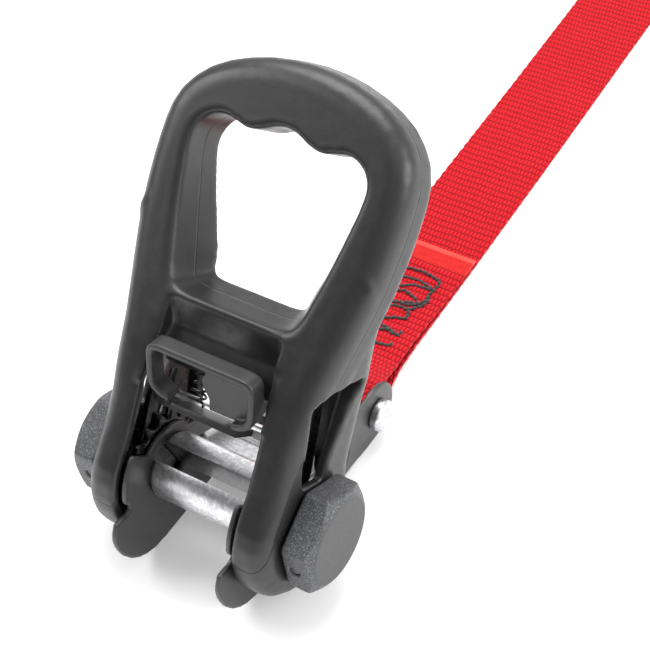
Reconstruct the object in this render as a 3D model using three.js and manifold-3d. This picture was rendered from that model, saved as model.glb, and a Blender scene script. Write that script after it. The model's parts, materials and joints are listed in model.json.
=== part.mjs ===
// Ratchet tie-down for 35 mm webbing: a steel frame, a split spindle with hexagonal
// knobs, a moulded D handle with a spring-loaded drive pawl, and a short fixed strap
// that ends in a hook. Millimetres, +Z up, the ground at z = 0, +X along the spindle
// and +Y from the spindle to the strap.
import * as THREE from "three";
import { mergeVertices } from "three/addons/utils/BufferGeometryUtils.js";
import Module from "manifold-3d";

const wasm = await Module();
wasm.setup();

// ---- driving dimensions -------------------------------------------------------------
const GAP = 0.3; // clearance between pieces that touch
const AXIS_Z = 28.1; // spindle axis above the ground
const STRAP_WIDTH = 35;
const STRAP_THICK = 1.5;

const FRAME_IN = STRAP_WIDTH / 2 + 0.9; // inner face of a frame plate
const FRAME_THICK = 1.8;
const FRAME_OUT = FRAME_IN + FRAME_THICK;
const CAM_SMALL = 13.6; // frame edge radius where the drive pawl works
const CAM_BIG = 22.3; // frame edge radius that lifts the drive pawl
const BOLT_Y = 60; // rear bolt, from the spindle axis
const BOLT_Z = -17.3;
const BOLT_R = 3.2;
const SLEEVE_R = 5;
const HEAD_R = 5.6;
const HEAD_LONG = 3.6;
const REAR_R = AXIS_Z + BOLT_Z; // rounded rear end of the frame plates
const LOCK_ANGLE = -25.5; // direction in which the lock pawl slides
const LOCK_SLOT = 6.4;
const LOCK_DROP = 2.4; // travel of the lock pawl from the tooth tips into a gap

const SPINDLE_R = 11.2;
const SPINDLE_SLOT = 6.8;
const SLOT_ANGLE = 108.4; // direction of the spindle slot, from +Y
const STUB_R = 9;
const WHEEL_R = 17.3;
const WHEEL_ROOT = 14.3;
const WHEEL_TEETH = 16;
const WHEEL_PHASE = 15.9; // turn of the wheels that puts a gap under each pawl
const WHEEL_IN = FRAME_OUT + GAP;
const WHEEL_THICK = 1.8;

const HANDLE_ANGLE = 46.4; // handle, from +Y
const LEG_IN = WHEEL_IN + WHEEL_THICK - 0.7;
const LEG_OUT = 34.2;
const HANDLE_FRONT = 28; // front face of the handle, from the spindle axis
const HANDLE_BACK = 10.7;
const HANDLE_LONG = 131.6; // spindle axis to the top of the grip
const EDGE_R = 6; // rounded outer edge of the handle
const DRAFT = 1.6; // width lost per side from the back of the handle to its front
const LEVER_IN = WHEEL_IN + WHEEL_THICK + 0.7;
const LEVER_THICK = 2;
const BLOCK_LOW = 34; // lower end of the block between the handle legs
const PAWL_DROP = 2.8; // travel of the drive pawl from the tooth tips into a gap
const PAWL_LIFT = 5.2; // and away from the wheels, by the pull loop

const KNOB_R = 18.1; // across two corners, halved
const KNOB_IN = LEG_OUT + GAP;
const KNOB_FLAT = 7.6; // length of the flats, up to the chamfer at a corner
const KNOB_LONG = 10.2;
const KNOB_CHAMFER = 1.6; // radius lost per millimetre beyond the flats
const KNOB_TURN = 33;

// sideways place of the strap's middle along its length, [y, x]
const STRAP_COURSE = [
  [BOLT_Y, -0.2], [BOLT_Y + 10.8, -0.5], [78, -2.4], [87, -4.2], [100, -5.3], [120, -5.8],
  [145, -6.15], [200, -7.4], [300, -10], [400, -12.6],
];
const HOOK_Y = 372; // bar of the far hook
const HOOK_WIRE = 2.75; // wire radius of the hook

// ---- helpers: outlines --------------------------------------------------------------
const rad = (deg) => (deg * Math.PI) / 180;
const polar = (r, deg, cy = 0, cz = 0) => [
  cy + r * Math.cos(rad(deg)), cz + r * Math.sin(rad(deg)),
];
const arc = (r, from, to, n, cy = 0, cz = 0) =>
  Array.from({ length: n + 1 }, (_, i) => polar(r, from + ((to - from) * i) / n, cy, cz));
const ring = (r, n, cy = 0, cz = 0) => arc(r, 0, 360, n, cy, cz).slice(1);
const mirrorX = (points) => points.map(([x, y]) => [-x, y]).reverse();
const vectors = (points) => points.map(([x, y]) => new THREE.Vector2(x, y));

function ccw(points) {
  return THREE.ShapeUtils.isClockWise(vectors(points)) ? [...points].reverse() : points;
}

// Smooth closed curve through [a, b] points.
function smooth(points, count) {
  const curve = new THREE.CatmullRomCurve3(
    points.map(([a, b]) => new THREE.Vector3(a, b, 0)), true, "centripetal");
  return curve.getPoints(count).slice(0, count).map((p) => [p.x, p.y]);
}

// Closed outline, counter-clockwise, moved inwards by d along its corner normals.
function inset(points, d) {
  const n = points.length;
  return points.map((p, i) => {
    const a = points[(i + n - 1) % n];
    const b = points[(i + 1) % n];
    const len = Math.hypot(b[0] - a[0], b[1] - a[1]) || 1;
    return [p[0] - ((b[1] - a[1]) / len) * d, p[1] + ((b[0] - a[0]) / len) * d];
  });
}

// Outline of a ribbon of the given thickness along an open line.
function ribbon(line, thick) {
  const offset = (sign) => line.map((p, i) => {
    const a = line[Math.max(i - 1, 0)];
    const b = line[Math.min(i + 1, line.length - 1)];
    const k = (sign * thick) / 2 / Math.hypot(b[0] - a[0], b[1] - a[1]);
    return [p[0] - k * (b[1] - a[1]), p[1] + k * (b[0] - a[0])];
  });
  return [...offset(1), ...offset(-1).reverse()];
}

// ---- helpers: solids, each a BufferGeometry that holds positions only ----------------
function clean(geometry) {
  const loose = geometry.index ? geometry.toNonIndexed() : geometry;
  const bare = new THREE.BufferGeometry();
  bare.setAttribute("position", loose.getAttribute("position"));
  const merged = mergeVertices(bare, 1e-4);
  const index = merged.index.array;
  const kept = [];
  for (let i = 0; i < index.length; i += 3) {
    const [a, b, c] = [index[i], index[i + 1], index[i + 2]];
    if (a !== b && b !== c && c !== a) kept.push(a, b, c);
  }
  merged.setIndex(kept);
  return merged;
}
function toSolid(geometry) {
  const g = clean(geometry);
  return new wasm.Manifold(new wasm.Mesh({
    numProp: 3,
    vertProperties: g.attributes.position.array,
    triVerts: new Uint32Array(g.index.array),
  }));
}
function toGeometry(solid) {
  const { vertProperties, triVerts } = solid.getMesh();
  const g = new THREE.BufferGeometry();
  g.setAttribute("position", new THREE.Float32BufferAttribute(vertProperties, 3));
  g.setIndex([...triVerts]);
  return g;
}
const join = (...parts) => toGeometry(parts.map(toSolid).reduce((a, b) => a.add(b)));
const cut = (first, ...rest) =>
  toGeometry(rest.map(toSolid).reduce((a, b) => a.subtract(b), toSolid(first)));
const common = (...parts) => toGeometry(parts.map(toSolid).reduce((a, b) => a.intersect(b)));

const moved = (geometry, matrix) => geometry.clone().applyMatrix4(matrix);
const shifted = (geometry, x, y, z) => geometry.clone().translate(x, y, z);
const halfTurn = (geometry) => geometry.clone().rotateX(Math.PI);
function mirrored(geometry) {
  const g = clean(geometry).scale(-1, 1, 1);
  const index = g.index.array;
  for (let i = 0; i < index.length; i += 3) [index[i], index[i + 1]] = [index[i + 1], index[i]];
  return g;
}

// A matrix that sends X, Y and Z to the three directions given, and 0 to the point.
const basis = (x, y, z, point) => new THREE.Matrix4()
  .makeBasis(new THREE.Vector3(...x), new THREE.Vector3(...y), new THREE.Vector3(...z))
  .setPosition(...point);
// Prism of an outline from z0 to z1.
function prism(points, z0, z1) {
  const shape = new THREE.Shape(vectors(ccw(points)));
  const made = new THREE.ExtrudeGeometry(shape, { depth: z1 - z0, bevelEnabled: false, steps: 1 });
  return clean(made.translate(0, 0, z0));
}
// Prism of a side-view outline, whose points are [y, z], from x0 to x1.
const side = (points, x0, x1) =>
  moved(prism(points, x0, x1), basis([0, 1, 0], [0, 0, 1], [1, 0, 0], [0, 0, 0]));
const disc = (r, x0, x1, n = 40, cy = 0, cz = 0) => side(ring(r, n, cy, cz), x0, x1);
// Turned piece along +X from x0, at a point of the side view; profile is [radius, length].
function turned(profile, x0, n = 32, cy = 0, cz = 0) {
  const lathe = new THREE.LatheGeometry(vectors(profile), n);
  return clean(moved(lathe, basis([0, 0, 1], [1, 0, 0], [0, 1, 0], [x0, cy, cz])));
}
// A matrix whose +Z runs along the direction deg of the side view, from a point of it.
const along = (deg, [y, z], x = 0) => basis(
  [1, 0, 0], [0, Math.sin(rad(deg)), -Math.cos(rad(deg))],
  [0, Math.cos(rad(deg)), Math.sin(rad(deg))], [x, y, z]);
// Round bar along +Z, centred on 0.
const bar = (r, long, n = 16) => clean(new THREE.CylinderGeometry(r, r, long, n).rotateX(Math.PI / 2));

// Bar of the given radius along a curve.
function swept(curve, r, sides, steps) {
  const section = new THREE.Shape(vectors(ring(r, sides)));
  return clean(new THREE.ExtrudeGeometry(section, { extrudePath: curve, steps }));
}
class Helix extends THREE.Curve {
  constructor(radius, wire, turns, long) {
    super();
    Object.assign(this, { radius, wire, turns, long });
  }
  getPoint(t, target = new THREE.Vector3()) {
    const a = 2 * Math.PI * this.turns * t;
    const z = this.wire + (this.long - 2 * this.wire) * t;
    return target.set(this.radius * Math.cos(a), this.radius * Math.sin(a), z);
  }
}
// Coil spring along +Z from 0 to long.
const coil = (radius, wire, turns, long) =>
  swept(new Helix(radius, wire, turns, long), wire, 5, turns * 8);

// Closed solid through rings of 3-D points. The ends are filled across from side to
// side, so point i of a ring faces point n - 1 - i, or by the flat outlines given.
function loft(rings, ends) {
  const n = rings[0].length;
  const index = [];
  for (let k = 0; k + 1 < rings.length; k++)
    for (let i = 0; i < n; i++) {
      const [a, b] = [k * n + i, k * n + ((i + 1) % n)];
      index.push(a, b, b + n, a, b + n, a + n);
    }
  const ladder = [];
  for (let i = 0; i + 1 < n - 1 - i; i++)
    ladder.push([i, i + 1, n - 1 - i], [i + 1, n - 2 - i, n - 1 - i]);
  const faces = (end) => (ends
    ? THREE.ShapeUtils.triangulateShape(vectors(ends[end]), [])
    : ladder.filter(([a, b, c]) => a !== b && b !== c && c !== a));
  const last = (rings.length - 1) * n;
  for (const [a, b, c] of faces(0)) index.push(a, c, b);
  for (const [a, b, c] of faces(1)) index.push(last + a, last + b, last + c);
  const g = new THREE.BufferGeometry();
  g.setAttribute("position", new THREE.Float32BufferAttribute(rings.flat(2), 3));
  g.setIndex(index);
  return g;
}

// ---- frame --------------------------------------------------------------------------
const rearTop = [BOLT_Y, BOLT_Z + REAR_R];
const plateOutline = [
  [-10, -AXIS_Z], [8, -AXIS_Z], [18, 1 - AXIS_Z], [BOLT_Y - 16, 1 - AXIS_Z], [BOLT_Y - 9, -AXIS_Z],
  ...arc(REAR_R, -90, 90, 14, BOLT_Y, BOLT_Z),
  [BOLT_Y - 14, rearTop[1] - 0.4], [BOLT_Y - 24, rearTop[1] + 0.6], [BOLT_Y - 36, 0.5],
  ...arc(CAM_SMALL, 20, 125, 14),
  ...arc(CAM_BIG, 128.5, 168, 7),
  [-21.6, 2.6], [-20.3, 0.7], [-20.6, -0.9], [-22.2, -1.2], [-27.6, -0.8], [-28.4, -2.4],
  [-29.5, -4.6], [-29.9, -7.6], [-29.5, -11.4], [-28, -16], [-25.3, -20.6], [-22, -24],
  [-18.4, -26.3], [-14.4, -27.7],
];
const lockDir = [Math.cos(rad(LOCK_ANGLE)), Math.sin(rad(LOCK_ANGLE))];
const lockPoint = ([r, n]) => [
  r * lockDir[0] - n * lockDir[1], r * lockDir[1] + n * lockDir[0],
];
const lockTip = WHEEL_R + GAP;
const slotStart = lockTip - LOCK_DROP - GAP;
const lockSlot = [
  [slotStart, -LOCK_SLOT / 2], [44.5, -LOCK_SLOT / 2], [45.8, -LOCK_SLOT / 2 + 1.3],
  [45.8, LOCK_SLOT / 2 - 1.3], [44.5, LOCK_SLOT / 2], [slotStart, LOCK_SLOT / 2],
].map(lockPoint);
const plate = cut(
  side(plateOutline, FRAME_IN, FRAME_OUT),
  side(lockSlot, FRAME_IN - 1, FRAME_OUT + 1),
  disc(STUB_R + GAP, FRAME_IN - 1, FRAME_OUT + 1),
  disc(BOLT_R + GAP, FRAME_IN - 1, FRAME_OUT + 1, 24, BOLT_Y, BOLT_Z),
);
const floorLow = 1 - AXIS_Z;
const springSeat = [[49.2, -4.2], [49.2, 3], [47.4, 3], [47.4, -4.2]].map(lockPoint);
const floor = side(
  [[22, floorLow], [46, floorLow], [47, floorLow + FRAME_THICK], [22, floorLow + FRAME_THICK]],
  -FRAME_IN - 0.5, FRAME_IN + 0.5);
const seat = side([...springSeat, [44.5, floorLow + 0.4], [46, floorLow + 0.4]], -9, 9);
const frame = join(plate, mirrored(plate), floor, seat);

// ---- rear bolt and sleeve -----------------------------------------------------------
const headProfile = [
  [0, 0], [HEAD_R, 0], [HEAD_R, HEAD_LONG - 1], [HEAD_R - 0.7, HEAD_LONG - 0.25],
  [HEAD_R - 1.6, HEAD_LONG], [0, HEAD_LONG],
];
const head = turned(headProfile, FRAME_OUT + 0.15, 32, BOLT_Y, BOLT_Z);
const bolt = join(
  head, mirrored(head), disc(BOLT_R, -FRAME_OUT - 1, FRAME_OUT + 1, 24, BOLT_Y, BOLT_Z));
const sleeve = cut(
  disc(SLEEVE_R, -FRAME_IN + GAP, FRAME_IN - GAP, 28, BOLT_Y, BOLT_Z),
  disc(BOLT_R + GAP, -FRAME_IN, FRAME_IN, 24, BOLT_Y, BOLT_Z));

// ---- lock pawl and its spring -------------------------------------------------------
const lockSection = [
  [lockTip, 1.7], [lockTip + 1.6, -1.1], [33.4, -1.1], [33.4, -2.6], [36, -2.6], [36, 2.7],
  [33.4, 2.7], [33.4, 1.7],
].map(lockPoint);
const lockPawl = side(lockSection, GAP - LEG_IN, LEG_IN - GAP);
const lockSpring = moved(coil(2.1, 0.4, 6, 10.8), along(LOCK_ANGLE, lockPoint([36.3, 0])));

// ---- spindle, wheels and knobs ------------------------------------------------------
// half-moon outline: the part of a disc beyond a flat at distance cut
function moon(r, cut, n) {
  const half = (Math.acos(cut / r) * 180) / Math.PI;
  return arc(r, SLOT_ANGLE + 90 - half, SLOT_ANGLE + 90 + half, n);
}
const stubEnd = KNOB_IN + 6.5;
const PIN_R = 1.5;
const pinX = KNOB_IN + 3.6;
const pinDeg = KNOB_TURN + 150; // square to a flat of the knob
const pinHole = moved(bar(PIN_R + GAP, 60), along(pinDeg, [0, 0], pinX));
const barrelEnd = FRAME_IN - GAP;
const barrel = (r, end) => side(moon(r, SPINDLE_SLOT / 2, 22), -end, end);
const spindleFront = cut(
  join(
    barrel(SPINDLE_R, barrelEnd - 1.2), barrel(SPINDLE_R - 0.5, barrelEnd - 0.5),
    barrel(SPINDLE_R - 1.4, barrelEnd),
    side(moon(STUB_R, SPINDLE_SLOT / 2, 16), -stubEnd, stubEnd)),
  pinHole, mirrored(pinHole));
const spindleRear = halfTurn(spindleFront);
const stubHoles = (x0, x1) => {
  const one = side(moon(STUB_R + GAP, SPINDLE_SLOT / 2 - GAP, 16), x0, x1);
  return join(one, halfTurn(one));
};
const step = 360 / WHEEL_TEETH;
const toothed = Array.from({ length: WHEEL_TEETH }, (_, i) => [
  [WHEEL_ROOT, 0], [WHEEL_ROOT, 0.34], [WHEEL_R, 0.68], [WHEEL_R, 0.94],
].map(([r, f]) => polar(r, WHEEL_PHASE + (i + f) * step))).flat();
const wheel = cut(
  side(toothed, WHEEL_IN, WHEEL_IN + WHEEL_THICK),
  stubHoles(WHEEL_IN - 1, WHEEL_IN + WHEEL_THICK + 1));
const KNOB_FACE_R = KNOB_R - (KNOB_LONG - KNOB_FLAT) * KNOB_CHAMFER;
const knobEnvelope = turned([
  [0, 0], [KNOB_R - 0.8, 0], [KNOB_R, 0.8], [KNOB_R, KNOB_FLAT], [KNOB_FACE_R, KNOB_LONG],
  [0, KNOB_LONG],
], KNOB_IN, 48);
const knob = cut(
  common(side(arc(KNOB_R, KNOB_TURN, KNOB_TURN + 300, 5), KNOB_IN - 1, KNOB_IN + KNOB_LONG + 1),
    knobEnvelope),
  stubHoles(KNOB_IN - 1, stubEnd + GAP), pinHole);
const pin = moved(bar(PIN_R, 2 * 15.2), along(pinDeg, [0, 0], pinX));

// ---- handle, in its own frame: y along the handle, z towards its front --------------
const widths = [ // distance along the handle, half width
  [-40, 0], [20, 0], [28, 0.9], [42, 2.1], [54, 4.2], [64, 6.2], [75, 7.9], [88, 9], [98, 9],
].map(([s, more]) => [s, LEG_OUT + more]);
const draft = (t) => (DRAFT * THREE.MathUtils.clamp(t - HANDLE_BACK, 0, HANDLE_FRONT - HANDLE_BACK))
  / (HANDLE_FRONT - HANDLE_BACK);
function halfWidth(s) {
  for (let i = 1; i < widths.length; i++) {
    const [[a, u], [b, v]] = [widths[i - 1], widths[i]];
    if (s <= b) return u + ((v - u) * (s - a)) / (b - a);
  }
  return widths[widths.length - 1][1];
}
// rounding of an edge: [depth below the face, inset of the outline]
const rounding = (r, n) => Array.from({ length: n + 1 }, (_, i) => [
  r * (1 - Math.sin(rad((90 * (n - i)) / n))), r * (1 - Math.cos(rad((90 * (n - i)) / n))),
]);

const GRIP_LOW = 46;
const gripHalf = [
  ...[GRIP_LOW, 53, 60, 67, 75, 84, 91, 97].map((s) => [halfWidth(s), s]),
  ...[[0.2, 103], [1, 108.5], [3, 113.8], [6.4, 118.5], [10.8, 122.5], [16.2, 125.7],
    [22.4, 128.2], [29.2, 130.1], [36.3, 131.2]].map(([less, s]) => [halfWidth(98) - less, s]),
  [0, HANDLE_LONG],
];
const gripOutline = [...gripHalf, ...mirrorX(gripHalf.slice(0, -1))];
const gripRings = [];
for (const [depth, d] of rounding(3, 3)) gripRings.push([HANDLE_BACK + depth, d]);
for (const [depth, d] of rounding(EDGE_R, 4).reverse()) gripRings.push([HANDLE_FRONT - depth, d]);
const narrowed = (points, d) => inset(points, d).map((p, i) => {
  const [x, s] = points[i];
  return s > GRIP_LOW ? p : [x - Math.sign(x) * d, s];
});
const grip = loft(gripRings.map(([t, d]) =>
  narrowed(gripOutline, d + draft(t)).map(([x, s]) => [x, s, t])));

// side view of a leg: [distance along the handle, height of its front or back edge]
const LEG_R = 24.4;
const hub = [-24, -22.9, -20.8, -17.6, -13.4, -8.6, -3.4, 2].map((s) =>
  [s, Math.sqrt(LEG_R * LEG_R - s * s)]);
const legStations = [8, 14, 20, 26, 32, 38, 44, 50, 56, 63, 70, 80];
const legFront = [24.2, 25, 25.9, 26.8, 27.5, 27.9, 28, 28, 28, 27.95, 27.95, 27.95];
const legBack = [-22.7, -19.2, -15.4, -12.3, -9.8, -7.5, -5.3, -2.5, 1.8, 6.9, 10, 11.6];
const legOutline = [
  ...hub.map(([s, t]) => [s, -t]), ...legStations.map((s, i) => [s, legBack[i]]),
  ...legStations.map((s, i) => [s, legFront[i]]).reverse(), ...[...hub].reverse(),
];
const legRings = [[0, 0.7], [0.7, 0]].map(([dx, d]) =>
  inset(legOutline, d).map(([s, t]) => [LEG_IN + dx, s, t]));
for (const [depth, d] of rounding(EDGE_R, 4).reverse())
  legRings.push(inset(legOutline, d).map(([s, t]) =>
    [halfWidth(s) - draft(t) - 0.05 - depth, s, t]));
const legSolid = loft(legRings);

const block = side([
  [BLOCK_LOW, HANDLE_BACK], [62.2, HANDLE_BACK], [56.4, HANDLE_FRONT], [55.3, HANDLE_FRONT],
  [46, 22], [40, 22], [BLOCK_LOW, 19.5],
], -LEG_IN - 1.5, LEG_IN + 1.5);
// cheek on the inner side of a leg, beside the recess
const cheek = prism([
  [LEG_IN + 1, 26], [LEG_IN, 26], [19.6, GRIP_LOW], [19.6, GRIP_LOW + 2], [LEG_IN + 1, GRIP_LOW + 2],
], 20, HANDLE_FRONT - 0.6);
// recess above the pull loop
const recess = side([
  [55.3, HANDLE_FRONT + 1], [55.3, HANDLE_FRONT], [46, 22], [GRIP_LOW - 2, 22],
  [GRIP_LOW - 2, HANDLE_FRONT + 1],
], -19.6, 19.6);

// opening of the grip, with finger waves along its top
const openFront = [
  [0, 55.7], [10, 55.7], [17, 55.9], [20.8, 57.2], [23, 60.5], [24.7, 67], [26.6, 76],
  [28.5, 88], [29.7, 98.3], [29.4, 102.8], [27.3, 106.4], [24, 108.7], [20.7, 109.3],
  [16.6, 108.5], [12.7, 107.5], [8.4, 108.3], [4, 110.3], [0, 111.1],
];
const openBack = [
  [0, 62], [8, 62], [13, 62.1], [16.2, 63], [16.9, 66.2], [17.8, 70], [20, 75.5],
  [24.2, 86.2], [27.9, 97.5], [28.2, 102], [26.5, 106], [23.6, 108.9], [20.7, 109.7],
  [16.6, 109], [12.7, 108], [8.4, 108.7], [4, 110.6], [0, 111.4],
];
const whole = (half) => smooth([...half, ...mirrorX(half).slice(1, -1)], 96);
const [front96, back96] = [whole(openFront), whole(openBack)];
const blend = (f) => front96.map(([x, s], i) => [
  x + (back96[i][0] - x) * f, s + (back96[i][1] - s) * f,
]);
const span = HANDLE_FRONT - HANDLE_BACK;
const tunnelRings = [
  [HANDLE_BACK - 3, 1, -2.4], [HANDLE_BACK, 1, -1.2], [HANDLE_BACK + 1.2, 1, 0],
  [HANDLE_FRONT - 1.2, 1.2 / span, 0], [HANDLE_FRONT - 0.35, 0, -0.4],
  [HANDLE_FRONT, 0, -1.2], [HANDLE_FRONT + 1, 0, -3.4],
];
const tunnel = loft(
  tunnelRings.map(([t, f, d]) => inset(blend(f), d).map(([x, s]) => [x, s, t])),
  [inset(blend(1), -2.4), inset(front96, -3.4)],
);

// hollow behind the inner face of a leg: it takes the wheel, lever and pawl ends
const hollow = [
  [50.5, 3.4], [47.5, 11], [44, 19.4], [41.5, 23.6], [38, 24.4], [28, 23.6], [16, 21.2],
  ...arc(21, 78, 300, 24), [22, -9.6], [33, -5], [44, -0.5],
];
const pocket = side(hollow, LEG_IN - 1, LEG_OUT - 3.6);
const sideWindow = side([
  [49.4, 3.4], [46.6, 10.5], [43.2, 18.1], [41, 21.6], [39.4, 23.2], [38.2, 23.7],
  [36.4, 23.3], [19.8, 16.5], [13, 12.6], [15.1, 2.6], [27.2, 4.2], [39.2, 4.9],
], LEG_OUT - 5, LEG_OUT + 4);
const legBore = disc(STUB_R + GAP, LEG_OUT - 6, LEG_OUT + 4);
// spring wells in the block
const springX = 7.5;
const springT = 15.2;
const wellTop = BLOCK_LOW + 11;
const well = moved(bar(3.6, 16, 20), along(0, [wellTop - 8, springT], springX));
const shell = cut(
  join(grip, legSolid, mirrored(legSolid), block, cheek, mirrored(cheek)),
  tunnel, recess, ...[pocket, sideWindow, legBore, well].flatMap((g) => [g, mirrored(g)]));

// lever: steel plate inside a leg, slotted for the pawl
const leverOutline = [
  ...arc(13, 68, 318, 26), [13.7, -8.2], [29.6, -2.9], [43, 1.6], [44.4, 4], [42, 13],
  [38, 17], [20, 15],
];
const earLow = 18;
const earHigh = 24;
const slotLow = earLow - PAWL_DROP - 0.5;
const slotHigh = earHigh + PAWL_LIFT + 0.5;
const lever = cut(
  side(leverOutline, LEVER_IN, LEVER_IN + LEVER_THICK),
  disc(STUB_R + GAP, LEVER_IN - 1, LEVER_IN + LEVER_THICK + 1),
  side([[slotLow, 4.4], [slotHigh, 4.4], [slotHigh, 8.8], [slotLow, 8.8]],
    LEVER_IN - 1, LEVER_IN + LEVER_THICK + 1));

// drive pawl: tip bar, ears in the levers, and the front lip that carries the pull loop
const tipOut = WHEEL_IN + WHEEL_THICK;
const earOut = LEVER_IN + LEVER_THICK;
const pawl = cut(
  join(
    side([[17, 4.8], [earHigh, 4.8], [earHigh, 8.4], [18.6, 8.4]], -tipOut, tipOut),
    side([[earLow, 4.8], [earHigh, 4.8], [earHigh, 8.4], [earLow, 8.4]], -earOut, earOut),
    side([[21.2, 6], [23.4, 6], [23.4, 22], [21.2, 22]], -12, 12),
    side([[18.6, 8], [23.4, 8], [23.4, 12], [20.6, 12]], -19.5, 19.5)),
  side([[12, 9], [23, 9], [23, 19.6], [12, 19.6]], -9.5, 1));

// pull loop: a tilted ring with a panel in its right half
const loopOut = [
  [0, 19.6], [10, 19.6], [15.6, 19.5], [17.8, 18.6], [18.9, 16.4], [19, 12], [18.9, 7],
  [18, 3.6], [15.4, 1.4], [12.6, 0.5], [8, 0.2], [0, 0.2],
];
const loopRing = [...loopOut, ...mirrorX(loopOut).slice(1, -1)];
const loopHole = inset(ccw(smooth(loopRing, 56)), 2.2).map(([x, s]) => [x, Math.max(s, 2.6)]);
const loopPanel = [
  [1.4, 1], [14, 1], [17.4, 4], [17.8, 15], [16.4, 18.4], [2, 18.4], [0.6, 14.6], [-1.6, 11],
  [-0.6, 8], [1.2, 5.4],
];
const loopTilt = 31;
const loopFoot = [[-11.2, -2], [11.2, -2], [11.2, 8], [-11.2, 8]]; // open towards the lip
const loop = join(
  cut(prism(smooth(loopRing, 56), -6.2, 0), prism(loopHole, -8, 2), prism(loopFoot, -8, 2)),
  prism(loopPanel, -5, -3.2),
).rotateX(rad(loopTilt)).translate(0, 23.4, 25.2);

const driveSpring = moved(coil(2.4, 0.45, 8, wellTop - 24.3), along(0, [23.8, springT], springX));

// ---- strap, stitching and hook ------------------------------------------------------
// centre line of the strap in the side view, from the far bar back to the rear bolt
const lift = STRAP_THICK / 2 + 0.2;
const wrap = SLEEVE_R + GAP + STRAP_THICK / 2;
const hookZ = -AXIS_Z + HOOK_WIRE + GAP + STRAP_THICK + 0.2;
const barWrap = HOOK_WIRE + GAP + STRAP_THICK / 2;
const gapZ = STRAP_THICK + 0.3;
const low = -AXIS_Z + lift;
const strapLine = [
  [HOOK_Y - 40, low + gapZ], [HOOK_Y - 31, low + gapZ], [HOOK_Y - 20, low + gapZ + 0.6],
  [HOOK_Y - 10, hookZ + barWrap - 1.6],
  ...arc(barWrap, 100, -100, 8, HOOK_Y, hookZ),
  [HOOK_Y - 14, low], [300, low], [240, low], [180, low], [140, low], [118, low + 0.2],
  [100, low + 0.9], [86, low + 1.9], [78, low + 2.7], [70.5, low + 3.4],
  [66, BOLT_Z - wrap + 0.15],
  ...arc(wrap, -82, -278, 12, BOLT_Y, BOLT_Z),
  [67, BOLT_Z + wrap - 1.2], [71, -14.5], [75, -16.6], [84, -21], [93, low + 1.4 + gapZ + 1.6],
  [102, low + 0.8 + gapZ + 0.9], [112, low + 0.4 + gapZ + 0.4], [124, low + gapZ + 0.2], [145, low + gapZ],
];
function course(y) {
  const i = Math.max(1, STRAP_COURSE.findIndex((p) => p[0] >= y));
  const [[a, u], [b, v]] = [STRAP_COURSE[i - 1], STRAP_COURSE[i]];
  return y <= a ? u : u + ((v - u) * (y - a)) / (b - a);
}
function drift(geometry) {
  const at = geometry.attributes.position;
  for (let i = 0; i < at.count; i++) at.setX(i, at.getX(i) + course(at.getY(i)));
  return geometry;
}
const strap = loft(strapLine.map(([y, z], i) => {
  const [a, b] = [strapLine[Math.max(i - 1, 0)], strapLine[Math.min(i + 1, strapLine.length - 1)]];
  const k = STRAP_THICK / 2 / Math.hypot(b[0] - a[0], b[1] - a[1]);
  return [[1, -1], [-1, -1], [-1, 1], [1, 1]].map(([edge, face]) => [
    course(y) + (edge * STRAP_WIDTH) / 2, y - face * k * (b[1] - a[1]), z + face * k * (b[0] - a[0]),
  ]);
}));

// zigzag of thick thread that follows the top layer; x across the strap, y along it
function layerTop(y) {
  const run = [...strapLine.slice(-7), ...strapLine.slice(0, 3)];
  const i = run.findIndex((p) => p[0] >= y);
  const [[a, u], [b, v]] = [run[i - 1], run[i]];
  return u + ((v - u) * (y - a)) / (b - a) + STRAP_THICK / 2;
}
function zigzag(y0, y1, strokes, pieces) {
  const points = Array.from({ length: strokes * pieces + 1 }, (_, i) => {
    const f = (i / pieces) % 2;
    return [-13.5 + (27 * i) / (strokes * pieces), y0 + (y1 - y0) * (f > 1 ? 2 - f : f)];
  });
  const made = prism(ribbon(points, 1.1), 0, 0.5);
  const at = made.attributes.position;
  for (let i = 0; i < at.count; i++) at.setZ(i, at.getZ(i) + layerTop(at.getY(i)) + GAP);
  return made;
}
const stitch = drift(zigzag(97, 129, 6, 5));
const farStitch = drift(zigzag(HOOK_Y - 37, HOOK_Y - 24, 8, 1));

// hook: one bent wire, an eye of three sides and an open hook that dips to the ground
const eyeWidth = STRAP_WIDTH / 2 + 5;
const hookPath = [ // [across, beyond the bar]
  [2.2, 32], [4, 28], [10, 20], [17, 11], [eyeWidth - 1, 4], [eyeWidth - 1.6, 1],
  [eyeWidth - 4, 0], [10, 0], [0, 0], [-10, 0], [4 - eyeWidth, 0], [1.6 - eyeWidth, 1],
  [1 - eyeWidth, 4], [-17, 11], [-10, 20], [-5, 27], [-3.8, 34], [-3.8, 44], [-1.5, 53],
  [4, 59.5], [12, 62], [20, 58.5], [24.5, 51], [24.5, 43],
].map(([x, beyond]) => [x, HOOK_Y + beyond]);
const HOOK_DIP = hookZ - HOOK_WIRE - 0.4 + AXIS_Z;
const hookCurve = new THREE.CatmullRomCurve3(
  hookPath.map(([x, y]) =>
    new THREE.Vector3(x, y, -HOOK_DIP * THREE.MathUtils.smoothstep(y, HOOK_Y + 12, HOOK_Y + 40))),
  false, "centripetal");
const hook = shifted(swept(hookCurve, HOOK_WIRE, 10, 60),
  course(HOOK_Y), 0, hookZ);

// ---- scene graph --------------------------------------------------------------------
const STEEL_BLACK = { color: 0x202124, roughness: 0.42, metalness: 0.75 };
const ZINC = { color: 0xc9ccd1, roughness: 0.28, metalness: 1 };
const PLASTIC = { color: 0x27282a, roughness: 0.5, metalness: 0 };
const KNOB_PLASTIC = { color: 0x303133, roughness: 0.8, metalness: 0 };
const RED = { color: 0xd01420, roughness: 0.85, metalness: 0 };
const THREAD = { color: 0x1b1c1e, roughness: 0.9, metalness: 0 };

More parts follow.
